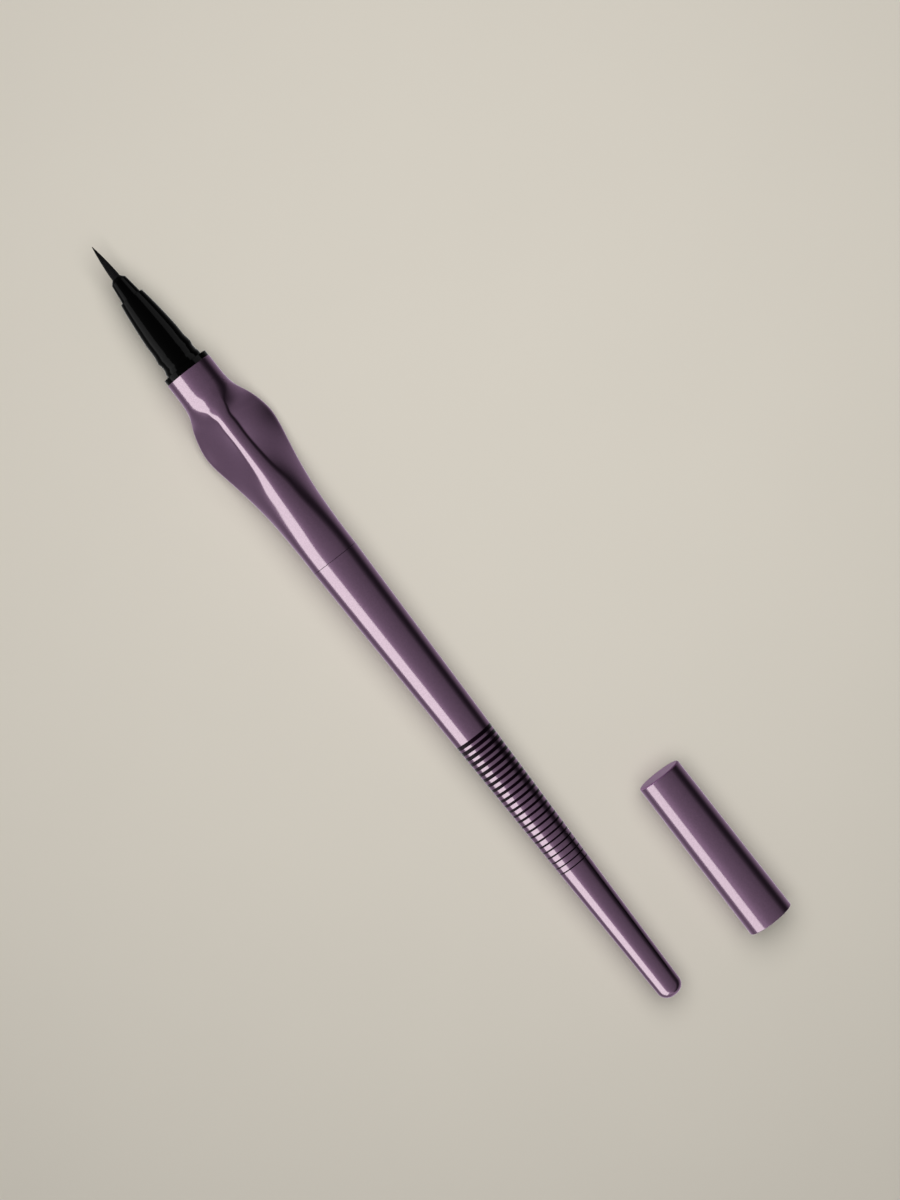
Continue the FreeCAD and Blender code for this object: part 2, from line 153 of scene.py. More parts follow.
bl_info = {
    "name": "Eyeliner Pen",
    "version": (1, 0, 0),
    "blender": (4, 5, 0),
    "location": "View3D > Sidebar > Eyeliner Pen",
    "description": "Builds a liquid eyeliner pen, its cap and a stage round a packed frame",
    "category": "Object",
}

MM = 0.001
UM = 0.000001

# Lengths up here are in millimetres. X runs from the nose's shoulder towards the brush.
PEN_AXIS = (0.0, 0.0)
CAP_AXIS = (-20.8, -0.378)
CAP_RIM = -135.83
CAP_LENGTH = 31.5
CUP_RIM = -124.93
SPRING_TURNS, SPRING_RADIUS = 4, 1.9

# The grip's sections: where each lies along the grip, and in millimetres the rounding of its
# three crests, the rounding of their shoulders and how far out the crests' centres are. Last
# comes how its sides bend (in 1/mm, hollow below 0).
GRIP_PLACES = (0, 0.05, 0.095, 0.12, 0.145, 0.17, 0.195, 0.22, 0.245, 0.28,
               0.34, 0.41, 0.48, 0.55, 0.62, 0.69, 0.77, 0.85, 0.93, 1)
CREST_ROUNDS = (4.36, 4.364, 4.367, 3.94, 3.05, 3.6, 4.0, 3.1, 2.1, 1.7,
                1.645, 1.65, 1.75, 1.99, 2.46, 2.89, 3.28, 3.81, 4.43, 4.44)
SHOULDER_ROUNDS = (4.36, 4.364, 4.367, 4.79, 5.48, 3.6, 1.25, 1.35, 1.46, 1.75,
                   1.635, 1.75, 2.16, 2.89, 3.89, 3.75, 4.32, 4.7, 4.433, 4.44)
CREST_CENTRES = (0.035, 0.035, 0.06, 0.633, 1.83, 1.564, 1.656, 3.212, 4.778, 5.67,
                 6.108, 5.82, 5.097, 4.227, 3.183, 2.301, 1.566, 0.813, 0.012, 0.0)
SIDE_BENDS = (0.227, 0.227, 0.22, 0.19, 0.155, 0.085, 0.055, 0.02, -0.006, -0.016,
              -0.026, -0.016, 0.005, 0.035, 0.065, 0.1, 0.146, 0.184, 0.217, 0.224)
CREST_SPAN = math.radians(21)
RIDGE_ANGLES = (90, 210, 330)
RIDGE_STEPS, SIDE_STEPS = 26, 18
GRIP_FRONT, GRIP_REAR = -1.1, -41.2
GRIP_BORE, SOCKET_RADIUS, SOCKET_DEPTH = 3.1, 3.62, 6.0
# Width in mm of the dark band painted as shadow on the barrel's front edge, where it meets the grip.
SEAM_SHADOW = 0.085
BRUSH_ROOT, BRUSH_POINT = 18.55, 25.19
BRUSH_RADIUS, BRUSH_POINT_RADIUS, BRUSH_SWELL = 0.775, 0.05, 0.125

# The finish of the lacquer and of what is printed on it, with lengths in metres.
LACQUER_EDGE = (0.92, 0.78, 0.92, 1.0)
LACQUER_COAT = 0.06
RING_BLUR, RING_HEIGHT = 20 * UM, 6 * UM
RING_CLEARANCE = 2 * MM
# CAP_END is where the cap's end face begins; from there the face is painted a plain purple that stands for the light it
# catches.
CAP_END, END_BLEND = (CAP_RIM + CAP_LENGTH - 0.1) * MM, 0.2 * MM

# The stage: what each lamp lights, where the camera looks, and how the floor glows far out.
LACQUERED = ("grip", "ringed_barrel")
BLACK = ("nose", "brush_holder", "brush_bundle")
IMAGE_UP = Vector((0.7895, -0.6138, 0))
VIEW_MIDDLE = Vector((-58.85 * MM, -11.04 * MM, 0))
VIEW_HALF_HEIGHT = 101.87 * MM
CAMERA_LEAN = 30.75 * MM
LIGHT_AIM = Vector((-60 * MM, -10 * MM, 0))
LIGHT_DISTANCE, LIGHT_LENGTH = 2.0, 6.0
GLOW_START, GLOW_RUN, GLOW_SHARE = 0.135, 0.32, 0.56

# How bright the room is that gloss mirrors: an angle from overhead, towards +Y, and its level.
ROOM_LEVELS = (
    (-180, 0.9), (-165, 0.85), (-150, 0.72), (-137, 0.58), (-128, 0.5), (-118, 0.38),
    (-110, 0.22), (-103, 0.095), (-94, 0.055), (-84, 0.06), (-76, 0.1), (-68, 0.19),
    (-59, 0.35), (-44, 0.405), (-26, 0.49), (-8, 0.555), (4, 0.62), (19, 0.75), (28, 0.9),
    (38, 1.1), (60, 1.15), (90, 1.15), (104, 0.8), (111, 0.53), (120, 0.49), (130, 0.54),
    (142, 0.7), (156, 0.82), (180, 0.9),
)


class Corner(NamedTuple):
    """A corner of a turned outline, in millimetres, with its rounding and the swell after it."""

    x: float
    r: float
    round: float = 0.0
    swell: float = 0.0


NOSE_OUTLINE = (
    Corner(-9.0, 2.74), Corner(-9.0, 3.08), Corner(-1.1, 3.08), Corner(-1.1, 4.31, 0.05),
    Corner(-0.06, 4.31, 0.12), Corner(-0.06, 3.45, 0.04), Corner(0.6, 3.45, 1.2),
    Corner(1.3, 3.205, 1.4), Corner(1.95, 3.205, 1.4), Corner(2.7, 3.395, 1.2),
    Corner(4.25, 3.135, 2.5), Corner(6.15, 3.125, 0, 0.08), Corner(14.5, 2.22, 0.2),
    Corner(14.5, 1.87, 0.05), Corner(9.5, 1.87), Corner(9.5, 2.12), Corner(0.5, 2.12),
    Corner(0.5, 2.74), Corner(-9.0, 2.74),
)
HOLDER_OUTLINE = (
    Corner(8.5, 1.32), Corner(8.5, 2.1), Corner(9.5, 2.1), Corner(9.5, 1.85), Corner(14.5, 1.85),
    Corner(17.95, 1.415, 0.12), Corner(18.55, 0.85, 0.03), Corner(18.55, 0.81), Corner(12.65, 0.81),
    Corner(12.65, 1.32), Corner(8.5, 1.32),
)
BRUSH_CORE_OUTLINE = (
    Corner(11.85, 0), Corner(11.85, 1.3), Corner(12.65, 1.3), Corner(12.65, 0.79),
    Corner(17.9, 0.79), Corner(18.0, 0.7), Corner(18.55, 0.7, 0, 0.1), Corner(24.9, 0.03),
    Corner(24.9, 0),
)
BARREL_OUTLINE = (
    Corner(-128.8, 0), Corner(-128.8, 1.35), Corner(-67.0, 1.35), Corner(-67.0, 2.74),
    Corner(-35.2, 2.74), Corner(-35.2, 3.6, 0.1), Corner(GRIP_REAR, 3.6), Corner(GRIP_REAR, 4.44),
    Corner(-135.8, 2.285, 1.9), Corner(-135.8, 0),
)
CAP_OUTLINE = (
    Corner(30.7, 0), Corner(30.7, 3.76, 0.1), Corner(0, 3.97, 0.05), Corner(0, 4.312, 0.12),
    Corner(CAP_LENGTH, 4.104, 0.35), Corner(CAP_LENGTH, 0),
)
LINER_OUTLINE = (
    Corner(30.68, 3.35), Corner(24.5, 3.35), Corner(24.5, 3.15), Corner(7.0, 3.15, 0.05),
    Corner(7.0, 3.5, 0.1), Corner(1.7, 3.5, 0, -0.23), Corner(1.2, 3.5),
    Corner(0.25, 3.5, 0.12), Corner(0.25, 3.948, 0.05), Corner(30.68, 3.74), Corner(30.68, 3.35),
)
CUP_OUTLINE = (
    Corner(15.6, 0), Corner(15.6, 2.6, 0.3), Corner(0.25, 2.6, 0.05), Corner(0, 2.85, 0.05),
    Corner(0, 3.1, 0.05), Corner(13.6, 3.1, 0.05), Corner(13.6, 3.3, 0.05), Corner(14.4, 3.3, 0.05),
    Corner(14.4, 3.1, 0.05), Corner(16.4, 3.1, 0.15), Corner(16.4, 0),
)


class EyelinerSizes(bpy.types.PropertyGroup):
    """Sizes of the pieces that the frame leaves open."""

    round_steps: bpy.props.IntProperty(
        name="Round steps", description="Faces round each turned piece", default=112, min=24)
    grip_rings: bpy.props.IntProperty(
        name="Grip rings", description="Cross-sections along the grip", default=168, min=40)
    ring_count: bpy.props.IntProperty(
        name="Rings", description="Black rings printed round the barrel", default=25, min=2)
    first_ring: bpy.props.FloatProperty(
        name="First ring", description="Distance of the first ring behind the nose's shoulder",
        default=0.07978, precision=5, subtype="DISTANCE", unit="LENGTH")
    ring_pitch: bpy.props.FloatProperty(
        name="Ring pitch", description="Distance from one ring to the next",
        default=0.001149, precision=6, subtype="DISTANCE", unit="LENGTH")
    widest_ring: bpy.props.FloatProperty(
        name="Widest ring", description="Width of the ring nearest the grip",
        default=0.0007, precision=6, subtype="DISTANCE", unit="LENGTH")
    narrowest_ring: bpy.props.FloatProperty(
        name="Narrowest ring", description="Width of the ring nearest the tail",
        default=0.00022, precision=6, subtype="DISTANCE", unit="LENGTH")
    fibre_count: bpy.props.IntProperty(
        name="Fibres", description="Fibres laid round the brush's core", default=46, min=12)
    fibre_radius: bpy.props.FloatProperty(
        name="Fibre radius", description="Radius of a fibre where it leaves the holder",
        default=0.00006, precision=6, subtype="DISTANCE", unit="LENGTH")
    wire_radius: bpy.props.FloatProperty(
        name="Spring wire radius", description="Radius of the wire of the cap's spring",
        default=0.00015, precision=6, subtype="DISTANCE", unit="LENGTH")


class EyelinerFinishes(bpy.types.PropertyGroup):
    """Colours and gloss of the pieces."""

    lacquer: bpy.props.FloatVectorProperty(
        name="Lacquer", description="Colour of the metallised lacquer",
        default=(0.187, 0.1095, 0.18), min=0, max=1, subtype="COLOR")
    lacquer_roughness: bpy.props.FloatProperty(
        name="Lacquer roughness", description="How much the lacquer blurs what it mirrors",
        default=0.15, min=0, max=1, subtype="FACTOR")
    # Painted light: the cap's end face takes this plain purple in place of the light that its metallised face would
    # catch.
    cap_end_painted_light: bpy.props.FloatVectorProperty(
        name="Cap's end", description="Colour of the thinner lacquer on the end of the cap",
        default=(0.265, 0.105, 0.28), min=0, max=1, subtype="COLOR")
    # This colour is also given to the band painted as shadow on the barrel's front edge, where it meets the grip.
    ink: bpy.props.FloatVectorProperty(
        name="Printed rings", description="Colour of the ink of the rings",
        default=(0.008, 0.0016, 0.0076), min=0, max=1, subtype="COLOR")
    black: bpy.props.FloatVectorProperty(
        name="Black moulding", description="Colour of the nose and the holder",
        default=(0.0003, 0.0003, 0.0003), min=0, max=1, subtype="COLOR")
    liner: bpy.props.FloatVectorProperty(
        name="Cap's liner", description="Colour of the moulding inside the cap",
        default=(0.004, 0.004, 0.0042), min=0, max=1, subtype="COLOR")
    fibre: bpy.props.FloatVectorProperty(
        name="Brush fibres", description="Colour of the inked fibres of the brush",
        default=(0.001, 0.0008, 0.0011), min=0, max=1, subtype="COLOR")
    wick: bpy.props.FloatVectorProperty(
        name="Wick", description="Colour of the inked fibre core",
        default=(0.06, 0.06, 0.07), min=0, max=1, subtype="COLOR")
    natural: bpy.props.FloatVectorProperty(
        name="Natural moulding", description="Colour of the unpigmented mouldings of the ink feed",
        default=(0.78, 0.78, 0.75), min=0, max=1, subtype="COLOR")
    seal: bpy.props.FloatVectorProperty(
        name="Sealing cup", description="Colour of the soft cup inside the cap",
        default=(0.86, 0.85, 0.82), min=0, max=1, subtype="COLOR")
    steel: bpy.props.FloatVectorProperty(
        name="Steel", description="Colour of the ball and the spring",
        default=(0.62, 0.62, 0.63), min=0, max=1, subtype="COLOR")


class EyelinerStage(bpy.types.PropertyGroup):
    """Floor, light and camera."""

    floor: bpy.props.FloatVectorProperty(
        name="Floor", description="Colour of the floor",
        default=(0.645, 0.604, 0.527), min=0, max=1, subtype="COLOR")
    floor_size: bpy.props.FloatProperty(
        name="Floor size", description="Width of the floor", default=10.0,
        subtype="DISTANCE", unit="LENGTH")
    key_watts: bpy.props.FloatProperty(
        name="Side light", description="Power of the long soft box beside the pen",
        default=103.0, min=0, subtype="POWER", unit="POWER")
    cap_watts: bpy.props.FloatProperty(
        name="Cap's side light", description="Power of the soft box beside the cap",
        default=81.0, min=0, subtype="POWER", unit="POWER")
    cap_low: bpy.props.FloatProperty(
        name="Cap's light near edge",
        description="Angle from overhead at which the cap's soft box begins",
        default=math.radians(51), subtype="ANGLE", unit="ROTATION")
    plain_watts: bpy.props.FloatProperty(
        name="Plain side light", description="Power of the soft box for all but the lacquer",
        default=265.0, min=0, subtype="POWER", unit="POWER")
    far_watts: bpy.props.FloatProperty(
        name="Far side light", description="Power of the soft box on the other side, for the nose",
        default=160.0, min=0, subtype="POWER", unit="POWER")
    far_low: bpy.props.FloatProperty(
        name="Far light lower edge",
        description="Angle from overhead at which the far soft box begins",
        default=math.radians(-88), subtype="ANGLE", unit="ROTATION")
    far_high: bpy.props.FloatProperty(
        name="Far light upper edge",
        description="Angle from overhead at which the far soft box ends",
        default=math.radians(-47), subtype="ANGLE", unit="ROTATION")
    key_tint: bpy.props.FloatVectorProperty(
        name="Side light tint", description="Colour of the soft box that the lacquer mirrors",
        default=(1.0, 1.43, 0.93), min=0, soft_max=2, subtype="COLOR")
    key_low: bpy.props.FloatProperty(
        name="Side light near edge",
        description="Angle from overhead at which the soft box begins",
        default=math.radians(44), subtype="ANGLE", unit="ROTATION")
    key_high: bpy.props.FloatProperty(
        name="Side light far edge",
        description="Angle from overhead at which the soft box ends",
        default=math.radians(97), subtype="ANGLE", unit="ROTATION")
    room_fill: bpy.props.FloatProperty(
        name="Room fill", description="Level of the light that the room spreads",
        default=0.1, min=0, max=1, subtype="FACTOR")
    floor_watts: bpy.props.FloatProperty(
        name="Floor light", description="Power of the soft box over the floor",
        default=1.075, min=0, subtype="POWER", unit="POWER")
    floor_tint: bpy.props.FloatVectorProperty(
        name="Floor light tint", description="Colour of the soft box over the floor",
        default=(1.0, 1.0, 1.0), min=0, soft_max=2, subtype="COLOR")
    floor_spot: bpy.props.FloatVectorProperty(
        name="Floor light place", description="Point of the floor under its soft box",
        size=2, default=(-0.0185, -0.0424), subtype="TRANSLATION", unit="LENGTH")
    floor_height: bpy.props.FloatProperty(
        name="Floor light height", description="Height of the floor's soft box over the pen's axis",
        default=0.275, subtype="DISTANCE", unit="LENGTH")
    floor_box: bpy.props.FloatVectorProperty(
        name="Floor light size", description="Width and length of the floor's soft box",
        size=2, default=(0.36, 0.46), subtype="XYZ_LENGTH", unit="LENGTH")
    camera_height: bpy.props.FloatProperty(
        name="Camera height", description="Height of the camera over the pen's axis",
        default=0.553, subtype="DISTANCE", unit="LENGTH")


class Wire:
    """A node's output that takes part in sums: each sum adds a Math node."""

    def __init__(self, sketch, socket):
        self.sketch, self.socket = sketch, socket

    def out(self, name):
        """Another output of the same node."""
        return Wire(self.sketch, self.socket.node.outputs[name])

    def calc(self, operation, *terms):
        return self.sketch.node("ShaderNodeMath", {"operation": operation}, dict(enumerate(terms)))

    def __add__(self, other):
        return self.calc("ADD", self, other)

    __radd__ = __add__

    def __sub__(self, other):
        return self.calc("SUBTRACT", self, other)

    def __rsub__(self, other):
        return self.calc("SUBTRACT", other, self)

    def __mul__(self, other):
        return self.calc("MULTIPLY", self, other)

    __rmul__ = __mul__

    def __truediv__(self, other):
        return self.calc("DIVIDE", self, other)

    def __gt__(self, other):
        return self.calc("GREATER_THAN", self, other)

    def __abs__(self):
        return self.calc("ABSOLUTE", self)

    def __round__(self):
        return self.calc("ROUND", self)

    def within(self, low, high):
        """The value held between two limits."""
        return self.calc("MINIMUM", self.calc("MAXIMUM", self, low), high)


class NodeSketch:
    """The node tree of a material or a world, drawn node by node."""

    def __init__(self, owner):
        owner.use_nodes = True
        self.tree = owner.node_tree
        self.tree.nodes.clear()

    def node(self, kind, settings=None, sockets=None, output=0):
        made = self.tree.nodes.new(kind)
        for name, value in (settings or {}).items():
            if name == "stops":
                ramp = made.color_ramp.elements
                while len(ramp) < len(value):
                    ramp.new(1.0)
                for stop, (place, colour) in zip(ramp, value):
                    stop.position, stop.color = place, colour
            else:
                setattr(made, name, value)
        for name, value in (sockets or {}).items():
            if isinstance(value, Wire):
                self.tree.links.new(value.socket, made.inputs[name])
            else:
                made.inputs[name].default_value = value
        return Wire(self, made.outputs[output])

    def xyz(self, kind="Object"):
        """Three wires: how far along X, Y and Z."""
        spot = self.node("ShaderNodeSeparateXYZ", sockets={
            "Vector": self.node("ShaderNodeTexCoord", output=kind)})
        return spot, spot.out("Y"), spot.out("Z")

    def place(self, scale=(1, 1, 1)):
        """Object coordinates, stretched along each axis."""
        spot = self.node("ShaderNodeTexCoord", output="Object")
        return self.node("ShaderNodeMapping", sockets={"Vector": spot, "Scale": scale})

    def noise(self, scale, stretch=(1, 1, 1), detail=2.0):
        """A cloudy value from 0 to 1 that repeats about scale times a metre."""
        return self.node("ShaderNodeTexNoise", sockets={
            "Vector": self.place(stretch), "Scale": scale, "Detail": detail})

    def cells(self, scale, stretch=(1, 1, 1)):
        """A value from 0 to 1 that is the same all over each small cell."""
        colour = self.node("ShaderNodeTexVoronoi", sockets={
            "Vector": self.place(stretch), "Scale": scale}, output="Color")
        return self.node("ShaderNodeSeparateColor", sockets={"Color": colour})

    def mix(self, share, first, second):
        """A colour between two others."""
        return self.node("ShaderNodeMix", {"data_type": "RGBA"},
                         {0: share, 6: opaque(first), 7: opaque(second)}, output=2)

    def bump(self, height, distance):
        """A normal from a height from 0 to 1 over this distance."""
        return self.node("ShaderNodeBump", sockets={
            "Height": height, "Strength": 1.0, "Distance": distance})

    def surface(self, sockets):
        shader = self.node("ShaderNodeBsdfPrincipled", sockets=sockets)
        self.node_output("ShaderNodeOutputMaterial", shader)

    def node_output(self, kind, shader):
        end = self.tree.nodes.new(kind)
        self.tree.links.new(shader.socket, end.inputs["Surface"])


def opaque(colour):
    """A colour with its alpha, or a wire as it is."""
    return colour if isinstance(colour, Wire) else (*colour[:3], 1.0)


def shade(colour, factor):
    """A colour made lighter or darker."""
    return tuple(min(1.0, part * factor) for part in colour[:3])


def ink_and_painted_seam_shadow(sketch, rings):
    """1 on the printed rings and on a band of painted shadow where the grip meets the barrel, 0 elsewhere."""
    x, y, z = sketch.xyz()
    outside = y * y + z * z > RING_CLEARANCE ** 2
    steps = (0 - x - rings.first_ring) / rings.ring_pitch
    last = rings.ring_count - 1
    number = round(steps).within(0, last)
    narrowing = (rings.narrowest_ring - rings.widest_ring) / last
    half_width = (number * narrowing + rings.widest_ring) / 2
    beside = abs(steps - number) * rings.ring_pitch
    printed = ((half_width - beside) / RING_BLUR + 0.5).within(0, 1) * outside
    # Painted shadow: a dark band on the barrel's front edge stands for the shade where the grip meets the barrel.
    painted_seam_shadow = x > (GRIP_REAR - SEAM_SHADOW) * MM
    return (printed + painted_seam_shadow).within(0, 1)


def lacquer_finish(name, looks, rings=None, end=None):
    """Metallised purple lacquer with fine flakes.

    Black rings are printed on it where their sizes are given, and a dark band is painted as shadow where the barrel
    meets the grip. Beyond an end it is plainer: a plain purple, painted to stand for the light that the cap's end face
    catches.
    """
    material = bpy.data.materials.new(name)
    sketch = NodeSketch(material)
    flakes = sketch.cells(14000)
    clouds = sketch.noise(90, detail=3.0)
    hairlines = sketch.noise(5200, (0.05, 1, 1))
    purple = sketch.mix(flakes, shade(looks.lacquer, 0.86), shade(looks.lacquer, 1.14))
    gloss = looks.lacquer_roughness - 0.03 + clouds * 0.03 + hairlines * 0.03
    peel = sketch.noise(2600)
    sockets = {
        "Base Color": purple, "Metallic": 1.0, "Roughness": gloss,
        "Coat Weight": LACQUER_COAT, "Coat Roughness": 0.07,
        "Specular IOR Level": 0.035, "Specular Tint": LACQUER_EDGE,
        "Normal": sketch.bump(peel, 0.35 * UM),
    }
    if rings:
        # The mask below holds the printed rings and also the band of painted shadow where the barrel meets the grip.
        ink = ink_and_painted_seam_shadow(sketch, rings)
        glance = sketch.node("ShaderNodeLayerWeight", sockets={"Blend": 0.5}, output="Facing")
        sheen = ink * glance.calc("POWER", glance, 3)
        sockets.update({
            "Base Color": sketch.mix(ink, purple, looks.ink),
            "Metallic": 1 - ink, "Roughness": gloss + ink * 0.3,
            "Coat Weight": LACQUER_COAT - ink * LACQUER_COAT + sheen,
            "Normal": sketch.bump(peel * 0.05 + ink, RING_HEIGHT),
        })
    # Painted light: past the end the face turns to a plain, non-metallic purple that stands for the light it catches.
    if end:
        plain = ((sketch.xyz()[0] - end) / END_BLEND + 1).within(0, 1)
        sockets.update({
            "Base Color": sketch.mix(plain, purple, looks.cap_end_painted_light),
            "Metallic": 1 - plain, "Roughness": gloss + plain * 0.25,
            "Coat Weight": LACQUER_COAT - plain * LACQUER_COAT,
        })
    sketch.surface(sockets)
    return material


def moulding_finish(name, colour, roughness, specular, grain=4 * UM):
    """Moulded plastic: faint flow marks, a fine grain and a gloss that varies a little."""
    material = bpy.data.materials.new(name)
    sketch = NodeSketch(material)
    flow = sketch.noise(260, (0.3, 1, 1), detail=4.0)
    speckle = sketch.noise(9000)
    sketch.surface({
        "Base Color": sketch.mix(flow, shade(colour, 0.82), shade(colour, 1.18)),
        "Roughness": roughness - 0.05 + flow * 0.06 + speckle * 0.04,
        "Specular IOR Level": specular,
        "Normal": sketch.bump(speckle * 0.6 + flow * 0.4, grain),
    })
    return material


def fibre_finish(name, colour, roughness, specular):
    """Fine fibres along the pen, each a little lighter or darker than the next."""
    material = bpy.data.materials.new(name)
    sketch = NodeSketch(material)
    strands = sketch.noise(11000, (0.012, 1, 1), detail=1.0)
    blots = sketch.noise(900, (0.4, 1, 1))
    tone = strands * 0.7 + blots * 0.3
    sketch.surface({
        "Base Color": sketch.mix(tone, shade(colour, 0.5), shade(colour, 1.5)),
        "Roughness": roughness - 0.1 + strands * 0.2,
        "Specular IOR Level": specular,
        "Normal": sketch.bump(strands, 12 * UM),
    })
    return material


def steel_finish(looks):
    """Polished steel with fine drawing marks."""
    material = bpy.data.materials.new("polished steel")
    sketch = NodeSketch(material)
    marks = sketch.noise(7000, (1, 0.2, 1))
    haze = sketch.noise(700)
    sketch.surface({
        "Base Color": sketch.mix(haze, shade(looks.steel, 0.9), shade(looks.steel, 1.06)),
        "Metallic": 1.0, "Roughness": 0.14 + marks * 0.12,
        "Normal": sketch.bump(marks, 0.6 * UM),
    })
    return material


def floor_finish(stage):
    """Smooth satin sheet with the faintest mottling, which glows a little far from the pen."""
    material = bpy.data.materials.new("pale satin sheet")
    sketch = NodeSketch(material)
    mottle = sketch.noise(40, detail=4.0)
    tooth = sketch.noise(1500)
    x, y, _ = sketch.xyz()
    x, y = x - LIGHT_AIM.x, y - LIGHT_AIM.y
    away = ((x.calc("SQRT", x * x + y * y) - GLOW_START) / GLOW_RUN).within(0, 1)
    sketch.surface({
        "Base Color": sketch.mix(mottle, shade(stage.floor, 0.985), shade(stage.floor, 1.015)),
        "Emission Color": sketch.mix(away, (0, 0, 0), shade(stage.floor, GLOW_SHARE)),
        "Emission Strength": 1.0,
        "Roughness": 0.55 + mottle * 0.05, "Specular IOR Level": 0.15,
        "Normal": sketch.bump(tooth, 3 * UM),
    })
    return material


def outline_points(corners):
    """The outline's points in metres, with corners rounded and swelling runs drawn in steps."""
    spots = [Vector((corner.x, corner.r)) for corner in corners]
    ends = []
    for index, (corner, spot) in enumerate(zip(corners, spots)):
        if not corner.round or index in (0, len(corners) - 1):
            ends.append([spot])
            continue
        back, ahead = (spots[index - 1] - spot), (spots[index + 1] - spot)
        room = min(back.length, ahead.length)
        back.normalize()
        ahead.normalize()
        half = back.angle(ahead) / 2
        reach = corner.round / math.tan(half)
        middle = spot + (back + ahead).normalized() * corner.round / math.sin(half)
        start, stop = spot + back * reach - middle, spot + ahead * reach - middle
        steps = 16 if corner.round > 1 else 5
        turn = start.angle_signed(stop)
        bend = [middle + Matrix.Rotation(-turn * step / steps, 2) @ start
                for step in range(steps + 1)]
        hold = min(reach * 1.6, room * 0.45)
        if hold > reach:
            bend = [spot + back * hold, *bend, spot + ahead * hold]
        ends.append(bend)
    points = []
    for corner, here, there in zip(corners, ends, ends[1:] + [[]]):
        points += here
        if corner.swell:
            run = there[0] - here[-1]
            out = Vector((-run.y, run.x)).normalized()
            out = out if out.y > 0 else -out
            steps = 12
            for step in range(1, steps):
                share = step / steps
                points.append(here[-1] + run * share + out * corner.swell * 4 * share * (1 - share))
    return [(point.x * MM, max(0.0, point.y) * MM) for point in points]


def start_mesh():
    """Leaves edit mode with nothing selected, so that the next piece is shaped alone."""
    if bpy.context.object and bpy.context.object.mode != "OBJECT":
        bpy.ops.object.mode_set(mode="OBJECT")
    bpy.ops.object.select_all(action="DESELECT")


def close_mesh(name, smooth=math.radians(38)):
    """Merges doubles, turns the faces outwards and puts the piece's place into its mesh."""
    bpy.ops.mesh.select_all(action="SELECT")
    bpy.ops.mesh.remove_doubles(threshold=0.2 * UM)
    bpy.ops.mesh.normals_make_consistent(inside=False)
    bpy.ops.object.mode_set(mode="OBJECT")
    bpy.ops.object.transform_apply(location=True, rotation=True, scale=True)
    piece = bpy.context.object
    piece.name = piece.data.name = name
    bpy.ops.object.shade_smooth_by_angle(angle=smooth)
    return piece


def ring_start(x, radius, axis, steps):
    """A ring round a line along X, in edit mode with its edges selected."""
    start_mesh()
    bpy.ops.mesh.primitive_circle_add(
        vertices=steps, radius=radius, location=(x, *axis),
        rotation=(0, math.pi / 2, 0), enter_editmode=True)


def draw_out(step):
    """Extrudes the selected ring along X."""
    bpy.ops.mesh.extrude_region_move(TRANSFORM_OT_translate={"value": (step, 0, 0)})


def select_first(count):
    """Selects the vertices that the piece began with."""
    bpy.ops.mesh.select_all(action="DESELECT")
    bpy.ops.object.mode_set(mode="OBJECT")
    for vertex in bpy.context.object.data.vertices[:count]:
        vertex.select = True
    bpy.ops.object.mode_set(mode="EDIT")


def turned(name, corners, steps, start=0.0, axis=PEN_AXIS):
    """A turned piece: a ring is drawn out along its outline and closed on itself or on the axis."""
    axis = tuple(part * MM for part in axis)
    points = [(start * MM + x, radius) for x, radius in outline_points(corners)]
    rings = [point for point in points if point[1] > 0]
    ring_start(*rings[0], axis, steps)
    for (x, radius), (next_x, next_radius) in zip(rings, rings[1:]):
        draw_out(next_x - x)
        share = next_radius / radius
        bpy.ops.transform.resize(value=(1, share, share), center_override=(next_x, *axis))
    if points[-1][1] == 0:
        draw_out(points[-1][0] - rings[-1][0])
        bpy.ops.mesh.merge(type="CENTER")
    if points[0][1] == 0:
        select_first(steps)
        draw_out(points[0][0] - rings[0][0])
        bpy.ops.mesh.merge(type="CENTER")
    return close_mesh(name)


def natural_spline(places, heights):
    """A smooth curve through the points, as a function of the place."""
    count = len(places)
    gaps = [b - a for a, b in zip(places, places[1:])]
    rises = [(b - a) / gap for a, b, gap in zip(heights, heights[1:], gaps)]
    upper, right = [0.0] * count, [0.0] * count
    for i in range(1, count - 1):
        pivot = 2 * (gaps[i - 1] + gaps[i]) - gaps[i - 1] * upper[i - 1]
        upper[i] = gaps[i] / pivot
        right[i] = (6 * (rises[i] - rises[i - 1]) - gaps[i - 1] * right[i - 1]) / pivot
    bends = [0.0] * count
    for i in range(count - 2, 0, -1):
        bends[i] = right[i] - upper[i] * bends[i + 1]

    def curve(place):
        i = max(0, min(count - 2, sum(place >= spot for spot in places) - 1))
        gap, after, before = gaps[i], place - places[i], places[i + 1] - place
        return (bends[i] * before ** 3 + bends[i + 1] * after ** 3) / (6 * gap) + (
            heights[i] / gap - bends[i] * gap / 6) * before + (
            heights[i + 1] / gap - bends[i + 1] * gap / 6) * after

    return curve


